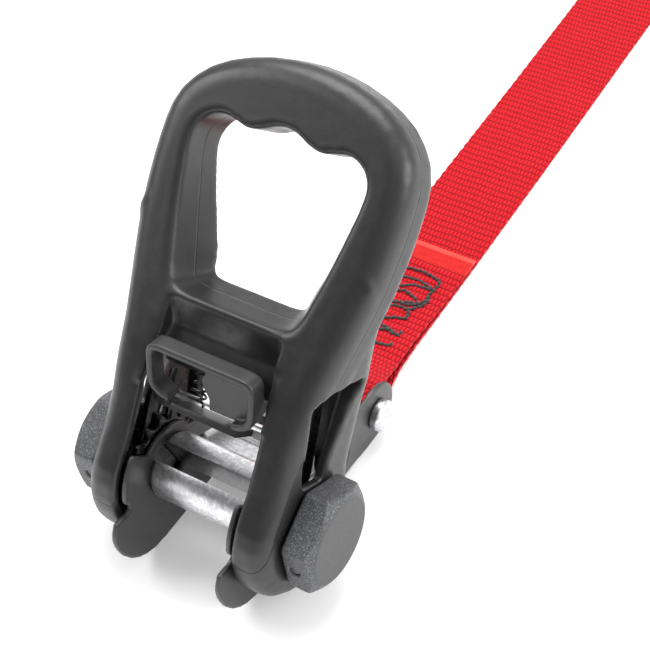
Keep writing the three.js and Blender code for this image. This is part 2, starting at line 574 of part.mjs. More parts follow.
function mesh(name, geometry, look) {
  const g = clean(geometry);
  g.computeVertexNormals();
  const made = new THREE.Mesh(g, new THREE.MeshStandardMaterial(look));
  made.name = name;
  return made;
}
const group = (name, ...children) => {
  const g = new THREE.Group();
  g.name = name;
  g.add(...children);
  return g;
};

const base = group("base",
  mesh("base_frame", frame, STEEL_BLACK),
  mesh("rear_bolt", bolt, ZINC),
  mesh("rear_sleeve", sleeve, ZINC),
  mesh("lock_pawl", lockPawl, ZINC),
  mesh("lock_pawl_spring", lockSpring, ZINC),
);
const spindle = group("spindle",
  mesh("spindle_half_front", spindleFront, ZINC),
  mesh("spindle_half_rear", spindleRear, ZINC),
);
for (const [tag, turn] of Object.entries({ left: mirrored, right: (g) => g })) {
  spindle.add(
    mesh(`ratchet_wheel_${tag}`, turn(wheel), ZINC),
    mesh(`knob_${tag}`, turn(knob), KNOB_PLASTIC),
    mesh(`knob_pin_${tag}`, turn(pin), STEEL_BLACK),
  );
}
const handle = group("handle",
  mesh("handle_shell", shell, PLASTIC),
  mesh("drive_pawl", pawl, ZINC),
  mesh("pull_loop", loop, PLASTIC),
  mesh("drive_spring_left", mirrored(driveSpring), ZINC),
  mesh("drive_spring_right", driveSpring, ZINC),
  mesh("lever_left", mirrored(lever), ZINC),
  mesh("lever_right", lever, ZINC),
);
handle.rotation.x = rad(HANDLE_ANGLE);
const strapSet = group("fixed_strap_set",
  mesh("fixed_strap", strap, RED),
  mesh("strap_stitching", stitch, THREAD),
  mesh("far_stitching", farStitch, THREAD),
  mesh("far_hook", hook, STEEL_BLACK),
);

const ratchet = group("ratchet_tie_down", base, spindle, handle);
const box = new THREE.Box3().setFromObject(ratchet, true);
ratchet.add(strapSet);
ratchet.position.set(0, -(box.min.y + box.max.y) / 2, AXIS_Z);

export default ratchet;
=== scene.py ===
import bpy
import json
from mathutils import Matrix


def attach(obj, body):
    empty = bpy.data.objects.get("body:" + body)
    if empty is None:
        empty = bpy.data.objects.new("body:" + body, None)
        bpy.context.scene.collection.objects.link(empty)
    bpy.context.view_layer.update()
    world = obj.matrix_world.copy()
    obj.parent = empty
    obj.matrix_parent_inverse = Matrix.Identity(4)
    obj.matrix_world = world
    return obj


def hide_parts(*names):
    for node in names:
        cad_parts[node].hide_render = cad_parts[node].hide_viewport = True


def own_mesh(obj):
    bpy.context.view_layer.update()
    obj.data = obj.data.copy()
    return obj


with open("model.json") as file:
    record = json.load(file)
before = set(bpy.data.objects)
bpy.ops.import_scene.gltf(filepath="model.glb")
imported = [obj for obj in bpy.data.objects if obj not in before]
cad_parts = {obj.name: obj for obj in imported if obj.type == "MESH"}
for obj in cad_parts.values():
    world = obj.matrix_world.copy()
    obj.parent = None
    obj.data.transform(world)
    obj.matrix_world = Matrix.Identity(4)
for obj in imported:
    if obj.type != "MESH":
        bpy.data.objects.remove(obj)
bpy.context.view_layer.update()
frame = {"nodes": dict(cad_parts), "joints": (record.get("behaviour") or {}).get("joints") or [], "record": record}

# Ratchet tie-down for 35 mm webbing: steel side plates, a split spindle with hexagonal
# knobs, a moulded D handle with its pull loop, and a sewn strap end with a hook.
# Metres, +Z up, the floor at z = 0, +X along the spindle, +Y towards the strap.
import json
import math

import bmesh
import bpy
from mathutils import Matrix, Vector

MM = 0.001
scene = bpy.context.scene
scene.view_settings.view_transform = "Standard"
AXIS = Vector(next(j for j in frame["joints"] if j["name"] == "spindle_turn")["pos_m"])
HANDLE_TURN = math.radians(46.4)
ALONG = Vector((0, math.cos(HANDLE_TURN), math.sin(HANDLE_TURN)))  # up the handle
OUT = Vector((0, -math.sin(HANDLE_TURN), math.cos(HANDLE_TURN)))  # to the handle's front


# ---- camera, floor and light ---------------------------------------------------------
def camera(place, azimuth, elevation, roll, lens):
    a, e, r = (math.radians(v) for v in (azimuth, elevation, roll))
    back = Vector((math.sin(a) * math.cos(e), -math.cos(a) * math.cos(e), math.sin(e)))
    level = Vector((math.cos(a), math.sin(a), 0))
    raised = back.cross(level)
    right = math.cos(r) * level + math.sin(r) * raised
    up = math.cos(r) * raised - math.sin(r) * level
    eye = bpy.data.objects.new("camera", bpy.data.cameras.new("camera"))
    eye.data.sensor_width, eye.data.lens = 36, lens
    eye.data.clip_start, eye.data.clip_end = 0.01, 20
    eye.matrix_world = Matrix.Translation(place) @ Matrix((right, up, back)).transposed().to_4x4()
    scene.collection.objects.link(eye)
    scene.camera = eye


camera((0.21594, -0.24958, 0.41487), 36.871, 46.213, -6.662, 88.567)


def softbox(name, place, target, size, watts):
    lamp = bpy.data.lights.new(name, "AREA")
    lamp.shape, lamp.energy = "RECTANGLE", watts
    lamp.size, lamp.size_y = size
    shown = bpy.data.objects.new(name, lamp)
    shown.location = place
    shown.rotation_euler = (Vector(target) - Vector(place)).to_track_quat("-Z", "Y").to_euler()
    scene.collection.objects.link(shown)


CENTRE = (0.0, 0.02, 0.05)
softbox("light_top", (-0.2, 0.45, 0.95), CENTRE, (0.8, 0.6), 9.0)
softbox("light_side", (0.9, 0.3, 0.5), CENTRE, (0.6, 0.5), 6.0)
softbox("light_left", (-0.75, -0.25, 0.7), CENTRE, (0.6, 0.6), 6.0)


# ---- finishes ------------------------------------------------------------------------
class Wire:
    """A node's output that plain arithmetic works on."""

    def __init__(self, nodes, socket):
        self.nodes, self.socket = nodes, socket

    def maths(self, operation, *values):
        return self.nodes.node("ShaderNodeMath", {"operation": operation},
                               dict(enumerate(values)))

    def __add__(self, other):
        return self.maths("ADD", self, other)

    def __sub__(self, other):
        return self.maths("SUBTRACT", self, other)

    def __rsub__(self, other):
        return self.maths("SUBTRACT", other, self)

    def __mul__(self, other):
        return self.maths("MULTIPLY", self, other)

    def __truediv__(self, other):
        return self.maths("DIVIDE", self, other)

    def __pow__(self, other):
        return self.maths("POWER", self, other)

    def __mod__(self, other):
        return self.maths("FLOORED_MODULO", self, other)

    def __gt__(self, other):
        return self.maths("GREATER_THAN", self, other)

    def __abs__(self):
        return self.maths("ABSOLUTE", self)

    __radd__, __rmul__ = __add__, __mul__


class Nodes:
    """The nodes of one tree, each made by its type, its settings and then its sockets."""

    def __init__(self, tree):
        self.tree = tree

    def node(self, kind, settings=(), sockets=(), out=0):
        made = self.tree.nodes.new(kind)
        for name, value in dict(settings).items():
            setattr(made, name, value)
        for name, value in dict(sockets).items():
            if isinstance(value, Wire):
                self.tree.links.new(value.socket, made.inputs[name])
            else:
                made.inputs[name].default_value = value
        return Wire(self, made.outputs[out])

    def span(self, value, low, high, to_low=0.0, to_high=1.0):
        """Carries value from low..high over to to_low..to_high, eased at both ends."""
        return self.node("ShaderNodeMapRange", {"interpolation_type": "SMOOTHSTEP"},
                         {0: value, 1: low, 2: high, 3: to_low, 4: to_high})


class Finish(Nodes):
    """A procedural material round one Principled shader."""

    def __init__(self, name, **values):
        self.material = bpy.data.materials.new(name)
        self.material.use_nodes = True
        super().__init__(self.material.node_tree)
        self.shader = self.tree.nodes["Principled BSDF"]
        for socket, value in values.items():
            self.shader.inputs[socket.replace("_", " ")].default_value = value

    def feed(self, **wires):
        for socket, wire in wires.items():
            self.tree.links.new(wire.socket, self.shader.inputs[socket.replace("_", " ")])

    def here(self):
        return self.node("ShaderNodeTexCoord", out="Object")

    def noise(self, scale, detail=2.0, rough=0.5, at=None):
        return self.node("ShaderNodeTexNoise", {"noise_dimensions": "3D"},
                         {"Vector": at or self.here(), "Scale": scale, "Detail": detail,
                          "Roughness": rough})

    def grains(self, scale):
        return self.node("ShaderNodeTexVoronoi", {"feature": "F1"},
                         {"Vector": self.here(), "Scale": scale}, "Color")

    def mix(self, factor, one, other):
        return self.node("ShaderNodeMix", {"data_type": "RGBA"},
                         {0: factor, 6: one, 7: other}, 2)

    def stretched(self, vector, scale):
        return self.node("ShaderNodeVectorMath", {"operation": "MULTIPLY"}, {0: vector, 1: scale})

    def along(self, direction):
        """Distance from the spindle's axis in a direction, over the piece."""
        moved = self.node("ShaderNodeVectorMath", {"operation": "SUBTRACT"},
                          {0: self.here(), 1: tuple(AXIS)})
        return self.node("ShaderNodeVectorMath", {"operation": "DOT_PRODUCT"},
                         {0: moved, 1: tuple(direction)}, "Value")

    def bump(self, height, distance, strength=1.0, under=None):
        sockets = {"Height": height, "Distance": distance, "Strength": strength}
        if under:
            sockets["Normal"] = under
        return self.node("ShaderNodeBump", (), sockets)


def grey(value, blue=1.0):
    return (value, value, value * blue, 1)


PARTING = 19.2 * MM  # the mould's parting line, from the spindle's axis to the front
KNOB_FACE = 44.3 * MM, 44.6 * MM  # where a knob's end face begins


def satin_plastic():
    f = Finish("satin_black_plastic", Roughness=0.45, Specular_IOR_Level=0.55)
    broad, fine = f.noise(45, 3), f.noise(2600, 2)
    groove = f.span(abs(f.along(OUT) - PARTING), 0.00008, 0.00035)
    rub = f.span(f.noise(260, 4, 0.65), 0.42, 0.72)
    f.feed(
        Base_Color=f.mix(broad * 0.6 + fine * 0.3, grey(0.010), grey(0.022, 1.02)),
        Roughness=0.33 + rub * 0.09 + fine * 0.06,
        Normal=f.bump(groove, 0.00025, 0.8,
                      f.bump(fine, 0.00005, 0.45, f.bump(rub, 0.00004, 0.3))),
    )
    return f


def loop_plastic():
    f = Finish("satin_loop_plastic", Roughness=0.42, Specular_IOR_Level=0.55)
    fine = f.noise(2400, 2)
    f.feed(
        Base_Color=f.mix(f.noise(90, 3), grey(0.012), grey(0.024, 1.02)),
        Roughness=0.38 + fine * 0.14,
        Normal=f.bump(fine, 0.00005, 0.4),
    )
    return f


def sparkle_plastic():
    f = Finish("sparkle_knob_plastic", Roughness=0.5, Specular_IOR_Level=0.6)
    across = abs(f.node("ShaderNodeSeparateXYZ", (), {0: f.here()}))
    face = f.span(across, *KNOB_FACE)
    grit = f.grains(3600)
    lump = f.noise(2900, 3, 0.7)
    glint = f.node("ShaderNodeSeparateColor", (), {0: grit})
    # painted glint: lighter blue-grey grains in the base colour stand in for the plastic's flakes catching the
    # light; the flakes' lower roughness is real
    flake_painted_glint = f.span(glint, 0.55, 1.0) * (1 - face * 0.75)
    base = f.mix(flake_painted_glint, grey(0.050), (0.15, 0.16, 0.19, 1))
    f.feed(
        Base_Color=f.mix(face * 0.8, base, grey(0.062, 1.03)),
        Roughness=0.52 - flake_painted_glint * 0.2 + face * 0.05,
        Normal=f.bump(lump + glint * 0.5, 0.00012, 0.7, f.bump(f.noise(3000, 1), 0.00004, 0.4)),
    )
    return f


def zinc_finish(name="bright_zinc", tone=0.80, rough=0.2, speck=1.0):
    f = Finish(name, Metallic=1.0)
    mottle, grit = f.noise(700, 4, 0.7), f.noise(3200, 2, 0.6)
    cloud = f.noise(120, 3)
    shade = f.span(mottle, 0.35, 0.68)
    f.feed(
        Base_Color=f.mix(shade, grey(tone * 0.62, 1.03), grey(tone, 1.02)),
        Roughness=rough + cloud * 0.14 + grit * 0.1,
        Normal=f.bump(grit + mottle * 0.6, 0.00006 * speck, 0.5),
    )
    return f


def coated_steel():
    f = Finish("black_coated_steel", Specular_IOR_Level=0.6, Coat_Weight=0.12, Coat_Roughness=0.25)
    orange, fine = f.noise(900, 2), f.noise(3500, 2)
    f.feed(
        Base_Color=f.mix(f.noise(60, 4), grey(0.02), grey(0.034, 1.02)),
        Roughness=0.36 + f.noise(160, 4) * 0.12,
        Normal=f.bump(orange + fine * 0.5, 0.00004, 0.4),
    )
    return f


WEAVE_ROW, WEAVE_COLUMN = 3.0 * MM, 1.5 * MM  # pitch of the weave along and across
SEALED_RIB = 1.25 * MM  # pitch of the ribs pressed into the sealed end


def webbing():
    """The strap's UV map holds metres across (u) and along (v), with the cut end at v = 0."""
    f = Finish("red_webbing", Roughness=0.8, Sheen_Weight=0.05, Sheen_Roughness=0.4,
               Specular_IOR_Level=0.2)
    f.shader.inputs["Sheen Tint"].default_value = (1.0, 0.5, 0.5, 1)
    uv = f.node("ShaderNodeUVMap", {"uv_map": "weave"})
    u = f.node("ShaderNodeSeparateXYZ", (), {0: uv})
    v = f.node("ShaderNodeSeparateXYZ", (), {0: uv}, 1)
    sway = f.noise(1.0, 2, 0.5, f.stretched(uv, (420, 420, 0)))
    row = v / WEAVE_ROW + (sway - 0.5) * 0.35
    odd = (row % 2.0) > 1.0
    along = abs((row % 1.0) - 0.5) * 2
    across = abs(((u / WEAVE_COLUMN + odd * 0.5) % 1.0) - 0.5) * 2
    pill = (1 - along ** 2.2) * (1 - across ** 3.0)
    fibre = f.noise(1.0, 3, 0.6, f.stretched(uv, (7000, 1500, 0)))
    fuzz = f.noise(2200, 3, 0.7)
    sealed = f.span(v, 0.0012, 0.0022, 1, 0)
    band = f.span(v, 0.0075, 0.0095, 1, 0)
    ribs = abs(((u / SEALED_RIB) % 1.0) - 0.5) * 2
    weave = pill * (1 - band * 0.7) + ribs * band * 0.35
    cloud = f.noise(70, 3)
    # painted shade: the weave's gaps are a darker red, standing in for shade between the pills; the cloud is the
    # cloth's own uneven tone
    weave_gap_shade = f.mix(cloud, (0.24, 0.001, 0.003, 1), (0.30, 0.002, 0.005, 1))
    tops = f.mix(cloud, (0.56, 0.006, 0.014, 1), (0.64, 0.009, 0.019, 1))
    cloth = f.mix(f.span(weave * 0.8 + fibre * 0.3, 0.15, 0.85), weave_gap_shade, tops)
    cloth = f.mix(band * 0.75, cloth, (0.56, 0.010, 0.007, 1))
    f.feed(
        Base_Color=f.mix(sealed, cloth, (0.70, 0.060, 0.045, 1)),
        Roughness=0.85 - band * 0.25 - sealed * 0.15,
        Normal=f.bump(weave, 0.0005, 1.0, f.bump(fibre + fuzz * 0.5, 0.00012, 0.6)),
    )
    return f


def thread():
    f = Finish("black_thread", Roughness=0.75, Sheen_Weight=0.25, Specular_IOR_Level=0.35)
    strand = f.noise(3000, 3, 0.6)
    f.feed(Base_Color=f.mix(strand, grey(0.008), grey(0.035, 1.1)),
           Normal=f.bump(strand, 0.0001, 0.7))
    return f


def pale_floor():
    f = Finish("pale_floor", Roughness=0.9, Specular_IOR_Level=0.1,
               Emission_Color=grey(1.0), Emission_Strength=0.22)
    f.feed(Base_Color=f.mix(f.noise(6, 2), grey(0.90), grey(0.92)))
    return f


FINISH = {
    "handle_plastic": satin_plastic(), "loop_plastic": loop_plastic(),
    "knob_plastic": sparkle_plastic(), "zinc": zinc_finish(),
    # a darker copy of the zinc: painted shade on the left wheel, the left lever and the coil springs, which are
    # zinc like the rest
    "painted_shade_zinc": zinc_finish("zinc_in_painted_shade", 0.11, 0.16),
    "spindle_zinc": zinc_finish("grainy_zinc", 0.84, 0.20, 1.6),
    "frame_black": coated_steel(), "webbing": webbing(), "thread": thread(),
}


# ---- making pieces -------------------------------------------------------------------
def put(name, bm, body, slot, finish=None, stands_for=(), sharp=40):
    """Makes a finished mesh of bm that rides on a body and may stand for CAD nodes."""
    for face in bm.faces:
        face.smooth = True
    for edge in bm.edges:
        edge.smooth = len(edge.link_faces) == 2 and edge.calc_face_angle(0) < math.radians(sharp)
    mesh = bpy.data.meshes.new(name)
    bm.to_mesh(mesh)
    bm.free()
    piece = bpy.data.objects.new(name, mesh)
    scene.collection.objects.link(piece)
    mesh.materials.append(FINISH[finish or slot].material)
    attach(piece, body)
    if stands_for:
        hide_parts(*stands_for)
    return piece


def cad_copy(node):
    bm = bmesh.new()
    bm.from_mesh(frame["nodes"][node].data)
    bmesh.ops.remove_doubles(bm, verts=bm.verts, dist=2e-6)
    return bm


def sharp_edges(bm, angle):
    return [e for e in bm.edges
            if len(e.link_faces) == 2 and e.calc_face_angle(0) > math.radians(angle)]


def eased(bm, width, segments=2, angle=28):
    """Takes the sharp edges off a flat-sided piece."""
    bmesh.ops.dissolve_limit(bm, angle_limit=math.radians(0.6), verts=bm.verts, edges=bm.edges,
                             delimit=set())
    bmesh.ops.bevel(bm, geom=sharp_edges(bm, angle), offset=width, offset_type="OFFSET",
                    affect="EDGES", segments=segments, profile=0.5, material=-1,
                    clamp_overlap=True)
    bmesh.ops.remove_doubles(bm, verts=bm.verts, dist=1e-6)
    return bm


def smoothed(bm, rounds, push=0.5, pull=-0.53):
    for _ in range(rounds):
        for factor in (push, pull) if pull else (push,):
            bmesh.ops.smooth_vert(bm, verts=bm.verts, factor=factor, use_axis_x=True,
                                  use_axis_y=True, use_axis_z=True)
    return bm


def moulded(bm, voxel, rounds):
    """Rebuilds a solid on an even grid and softens its edges, as a moulding has."""
    mesh = bpy.data.meshes.new("rough")
    bm.to_mesh(mesh)
    bm.free()
    rough = bpy.data.objects.new("rough", mesh)
    scene.collection.objects.link(rough)
    grid = rough.modifiers.new("grid", "REMESH")
    grid.mode, grid.voxel_size, grid.use_smooth_shade = "VOXEL", voxel, True
    bpy.context.view_layer.update()
    even = bpy.data.meshes.new_from_object(
        rough.evaluated_get(bpy.context.evaluated_depsgraph_get()))
    bpy.data.objects.remove(rough)
    fresh = bmesh.new()
    fresh.from_mesh(even)
    bpy.data.meshes.remove(even)
    bpy.data.meshes.remove(mesh)
    smoothed(fresh, 3, 0.5, 0)
    return smoothed(fresh, rounds)


# ---- strap ---------------------------------------------------------------------------
STRAP_WIDTH, STRAP_THICK = 35 * MM, 1.5 * MM
# Centre line of the strap, (y, z): from its inner end at the hook, round the hook's bar,
# back along the floor, round the rear bolt and over itself to the cut end.
ROUTE = [
    (0.30612, 0.00275), (0.31512, 0.00275), (0.32612, 0.00335), (0.33612, 0.00695),
    (0.34546, 0.00849), (0.34711, 0.00842), (0.34857, 0.00766), (0.34957, 0.00636),
    (0.34992, 0.00475), (0.34957, 0.00314), (0.34857, 0.00184), (0.34711, 0.00108),
    (0.34546, 0.00101), (0.33212, 0.00095), (0.27412, 0.00095), (0.21412, 0.00095),
    (0.15412, 0.00095), (0.11412, 0.00095), (0.09212, 0.00115), (0.07412, 0.00185),
    (0.06012, 0.00285), (0.05212, 0.00365), (0.04462, 0.00435), (0.04012, 0.00490),
    (0.03496, 0.00481), (0.03325, 0.00481), (0.03160, 0.00530), (0.03015, 0.00623),
    (0.02903, 0.00753), (0.02832, 0.00910), (0.02807, 0.01080), (0.02832, 0.01250),
    (0.02903, 0.01407), (0.03015, 0.01537), (0.03160, 0.01630), (0.03325, 0.01679),
    (0.03496, 0.01679), (0.04112, 0.01565), (0.04512, 0.01360), (0.04912, 0.01150),
    (0.05812, 0.00710), (0.06712, 0.00575), (0.07612, 0.00445), (0.08612, 0.00355),
    (0.09812, 0.00295), (0.11912, 0.00275),
]


# Sideways place of the strap's middle along its length, (y, x).
COURSE = [
    (0.03412, -0.0002), (0.04492, -0.0005), (0.05212, -0.0024), (0.06112, -0.0042),
    (0.07412, -0.0053), (0.09412, -0.0058), (0.11912, -0.00615), (0.17412, -0.0074),
    (0.27412, -0.0100), (0.37412, -0.0126),
]


def drift(y):
    if y <= COURSE[0][0]:
        return COURSE[0][1]
    (a, u), (b, v) = next(p for p in zip(COURSE, COURSE[1:]) if y <= p[1][0])
    return u + (v - u) * (y - a) / (b - a)


class Line:
    """A smooth line through points, read by distance from its start."""

    def __init__(self, points, fine=12):
        p = [Vector(q) for q in points]
        self.points, self.far = [], [0.0]
        for i in range(len(p) - 1):
            a, b, c, d = p[max(i - 1, 0)], p[i], p[i + 1], p[min(i + 2, len(p) - 1)]
            m0 = (c - a) * ((c - b).length / max((c - b).length + (b - a).length, 1e-9))
            m1 = (d - b) * ((c - b).length / max((d - c).length + (c - b).length, 1e-9))
            for k in range(fine):
                t = k / fine
                self.points.append(
                    b * (2 * t ** 3 - 3 * t * t + 1) + m0 * (t ** 3 - 2 * t * t + t)
                    + c * (3 * t * t - 2 * t ** 3) + m1 * (t ** 3 - t * t))
        self.points.append(p[-1])
        for a, b in zip(self.points, self.points[1:]):
            self.far.append(self.far[-1] + (b - a).length)
        self.long = self.far[-1]
        self.at = 0

    def __call__(self, s):
        s = min(max(s, 0.0), self.long)
        while self.at > 0 and self.far[self.at] > s:
            self.at -= 1
        while self.at < len(self.far) - 2 and self.far[self.at + 1] < s:
            self.at += 1
        a, b = self.points[self.at], self.points[self.at + 1]
        f = (s - self.far[self.at]) / max(self.far[self.at + 1] - self.far[self.at], 1e-9)
        return a.lerp(b, f), (b - a).normalized()


strap_line = Line([(0, y, z) for y, z in reversed(ROUTE)])  # starts at the cut end
FINE_LONG = 0.25  # how far from the cut end the weave is modelled finest
WOVEN = 0.13 * MM  # height of the weave


def strap_stations():
    s, at = 0.0, []
    while s < strap_line.long:
        at.append(s)
        s += WEAVE_ROW / 4 if s < FINE_LONG else WEAVE_ROW / 2
    return [*at, strap_line.long]


def make_strap():
    stations, columns = strap_stations(), 4 * round(STRAP_WIDTH / WEAVE_COLUMN)
    bm = bmesh.new()
    bmesh.ops.create_grid(bm, x_segments=columns, y_segments=len(stations) - 1, size=1)
    bm.verts.ensure_lookup_table()
    across = columns + 1
    uv = bm.loops.layers.uv.new("weave")
    flat = []
    for i, vert in enumerate(bm.verts):
        row, column = divmod(i, across)
        s, side = stations[row], column / columns * 2 - 1
        here, ahead = strap_line(s)
        normal = Vector((0, ahead.z, -ahead.y))
        scallop = math.sin(math.pi * s / (4.8 * MM)) ** 2
        ragged = 0.35 * scallop if side < 0 else 0.12 * scallop
        half = STRAP_WIDTH / 2 - (ragged + 0.1) * MM
        u = side * half
        k = s / WEAVE_ROW
        shift = 0.5 if k % 2 > 1 else 0.0
        pill = math.sin(math.pi * (k % 1)) ** 0.8 * (
            0.5 + 0.5 * abs(math.cos(math.pi * (u / WEAVE_COLUMN + shift))) ** 0.7)
        band = min(max((9.5 * MM - s) / (2 * MM), 0), 1)
        rise = WOVEN * (pill * 1.6 - 0.6) * (1 - 0.75 * band)
        lip = 0.42 * MM * math.exp(-((s - 0.7 * MM) / (0.6 * MM)) ** 2)
        lip *= 0.8 + 0.2 * math.sin(u / MM * 1.3) + 0.1 * math.sin(u / MM * 4.1 + 1)
        # beyond its sealed end the cloth isn't quite flat
        wave = 0.12 * MM * math.sin(u / MM * 0.42 + s / MM * 0.05) * (s > 0.03)
        sideways = Vector((drift(here.y) + u, 0, 0))
        vert.co = here + normal * (rise + lip + wave) + sideways
        flat.append((u, s))
    for face in bm.faces:
        for loop in face.loops:
            loop[uv].uv = flat[loop.vert.index]
    strap = put("strap_webbing", bm, "base", "webbing", stands_for=["fixed_strap"], sharp=70)
    solid = strap.modifiers.new("thickness", "SOLIDIFY")
    solid.thickness, solid.offset = STRAP_THICK - 0.25 * MM, 0
    return strap


strap = make_strap()


# ---- stitches ------------------------------------------------------------------------
def top_of_strap(y):
    """Height of the upper layer's top face at y, in its sewn stretches."""
    run = ROUTE[37:] if y < 0.15 else ROUTE[:4]
    for (a, za), (b, zb) in zip(run, run[1:]):
        if a <= y <= b:
            return za + (zb - za) * (y - a) / (b - a) + STRAP_THICK / 2
    return run[-1][1] + STRAP_THICK / 2


def stitched(name, runs, node, long=2.1, thick=1.45):
    """Rows of short twisted stitches along runs of (x, y) points, in millimetres."""
    bm = bmesh.new()
    for r, run in enumerate(runs):
        line = Line([(x * MM, y * MM, 0) for x, y in run], 8)
        count = max(1, round(line.long / (long * MM)))
        for i in range(count):
            here, ahead = line((i + 0.5) / count * line.long)
            made = bmesh.ops.create_uvsphere(bm, u_segments=8, v_segments=6, radius=0.5)["verts"]
            swing = math.radians(9 if (i + r) % 2 else -9)
            angle = math.atan2(ahead.y, ahead.x) + swing
            turn = Matrix.Rotation(angle, 4, "Z") @ Matrix.Rotation(math.pi / 2, 4, "Y")
            size = Matrix.Diagonal((thick * 0.62 * MM, thick * MM, line.long / count * 1.02, 1))
            y = here.y + AXIS.y
            place = Matrix.Translation((drift(y) + here.x, y, top_of_strap(y) + 0.16 * MM))
            bmesh.ops.transform(bm, matrix=place @ turn @ size, verts=made)
    return put(name, bm, "base", "thread", stands_for=[node], sharp=80)


STITCH_RUNS = [
    [(-13.5, 129.6), (-3.3, 130.5), (3.5, 131.1), (10.9, 129.7)],
    [(10.9, 129.7), (11.4, 126.5), (10.9, 121.5), (12.0, 117.9), (10.4, 114.1), (7.0, 110.7)],
    [(-13.5, 125.2), (-2.3, 125.7), (3.6, 126.4), (10.4, 124.9)],
    [(-13.5, 120.0), (-1.6, 120.7), (3.5, 123.5), (10.4, 124.3)],
    [(-13.5, 117.4), (-1.1, 118.3), (2.1, 119.4), (8.3, 117.1)],
    [(10.9, 121.0), (11.0, 118.0), (9.4, 115.4), (6.4, 113.4), (-3.0, 113.0)],
    [(-13.5, 111.6), (0.3, 112.2), (6.0, 114.7), (10.1, 116.1)],
    [(-13.5, 109.4), (0.7, 110.0), (3.3, 111.2), (8.2, 110.6), (9.4, 107.0)],
    [(-13.5, 103.0), (2.3, 103.5), (5.1, 105.1), (10.1, 107.0)],
    [(-13.5, 100.0), (3.3, 99.7), (7.3, 99.0), (11.2, 97.7), (11.5, 100.4)],
    [(-13.5, 96.4), (4.2, 97.2), (5.5, 98.6), (9.7, 97.4)],
    [(-13.5, 90.0), (6.1, 90.4), (8.4, 90.6), (11.2, 91.4), (10.9, 93.0)],
    [(-13.5, 130.6), (-13.9, 110.0), (-13.5, 90.0)],
]
near_stitches = stitched("strap_stitches", STITCH_RUNS, "strap_stitching")
FAR_RUNS = [[(x - 3.4, 335.0), (x, 347.5), (x + 3.4, 335.0)] for x in (-10, -3.3, 3.3, 10)]
far_stitches = stitched("hook_end_stitches", FAR_RUNS, "far_stitching")


# ---- pieces from the frame -----------------------------------------------------------
BODY = {n: b for b, ns in frame["record"]["behaviour"]["bodies"].items() for n in ns}
put("side_plates", moulded(cad_copy("base_frame"), 0.5 * MM, 10), "base", "frame_black",
    stands_for=["base_frame"])
put("handle_moulding", moulded(cad_copy("handle_shell"), 0.8 * MM, 26), "handle",
    "handle_plastic", stands_for=["handle_shell"])
put("pull_loop_moulding", moulded(cad_copy("pull_loop"), 0.4 * MM, 16), "drive_pawl",
    "handle_plastic", "loop_plastic", stands_for=["pull_loop"])
for side in ("left", "right"):
    put(f"hex_knob_{side}", moulded(cad_copy(f"knob_{side}"), 0.42 * MM, 8), "spindle",
        "knob_plastic", stands_for=[f"knob_{side}"])
for node, name, slot, width in (
        ("lock_pawl", "lock_bar", "zinc", 0.3),
        ("ratchet_wheel_left", "toothed_wheel_left", "zinc", 0.18),
        ("ratchet_wheel_right", "toothed_wheel_right", "zinc", 0.18),
        ("lever_left", "inner_lever_left", "zinc", 0.25),
        ("lever_right", "inner_lever_right", "zinc", 0.25),
        ("knob_pin_left", "cross_pin_left", "frame_black", 0.2),
        ("knob_pin_right", "cross_pin_right", "frame_black", 0.2)):
    # the left wheel and left lever are zinc like the right ones; their darker zinc is painted shade
    finish = "painted_shade_zinc" if name in ("toothed_wheel_left", "inner_lever_left") else slot
    put(name, eased(cad_copy(node), width * MM), BODY[node], slot, finish, stands_for=[node])
PLATE_FOOT = 12.15 * MM  # where the drive bar's upright plate leaves its lip
bar = eased(cad_copy("drive_pawl"), 0.25 * MM)
bmesh.ops.bisect_plane(bar, geom=[*bar.verts, *bar.edges, *bar.faces], dist=1e-7,
                       plane_co=AXIS + OUT * PLATE_FOOT, plane_no=OUT)
for face in bar.faces:  # the upright plate above the lip is drawn in the loop's dark plastic
    face.material_index = int((face.calc_center_median() - AXIS).dot(OUT) > PLATE_FOOT)
put("drive_bar", bar, "drive_pawl", "zinc", stands_for=["drive_pawl"]).data.materials.append(
    FINISH["loop_plastic"].material)
hook = put("wire_hook", moulded(cad_copy("far_hook"), 0.5 * MM, 10), "base", "frame_black",
           stands_for=["far_hook"])


# ---- turned pieces -------------------------------------------------------------------
def turned(profile, steps, centre):
    """A round piece about the X axis through centre; profile is (x, radius), open at r = 0."""
    bm = bmesh.new()
    rim = [bm.verts.new((x, centre[1] + r, centre[2])) for x, r in profile]
    edges = [bm.edges.new(pair) for pair in zip(rim, rim[1:])]
    bmesh.ops.spin(bm, geom=[*rim, *edges], cent=centre, axis=(1, 0, 0), dvec=(0, 0, 0),
                   angle=2 * math.pi, steps=steps, use_merge=True, use_duplicate=False)
    bmesh.ops.remove_doubles(bm, verts=bm.verts, dist=1e-6)
    bmesh.ops.holes_fill(bm, edges=[e for e in bm.edges if len(e.link_faces) < 2], sides=0)
    bmesh.ops.recalc_face_normals(bm, faces=bm.faces)
    return bm


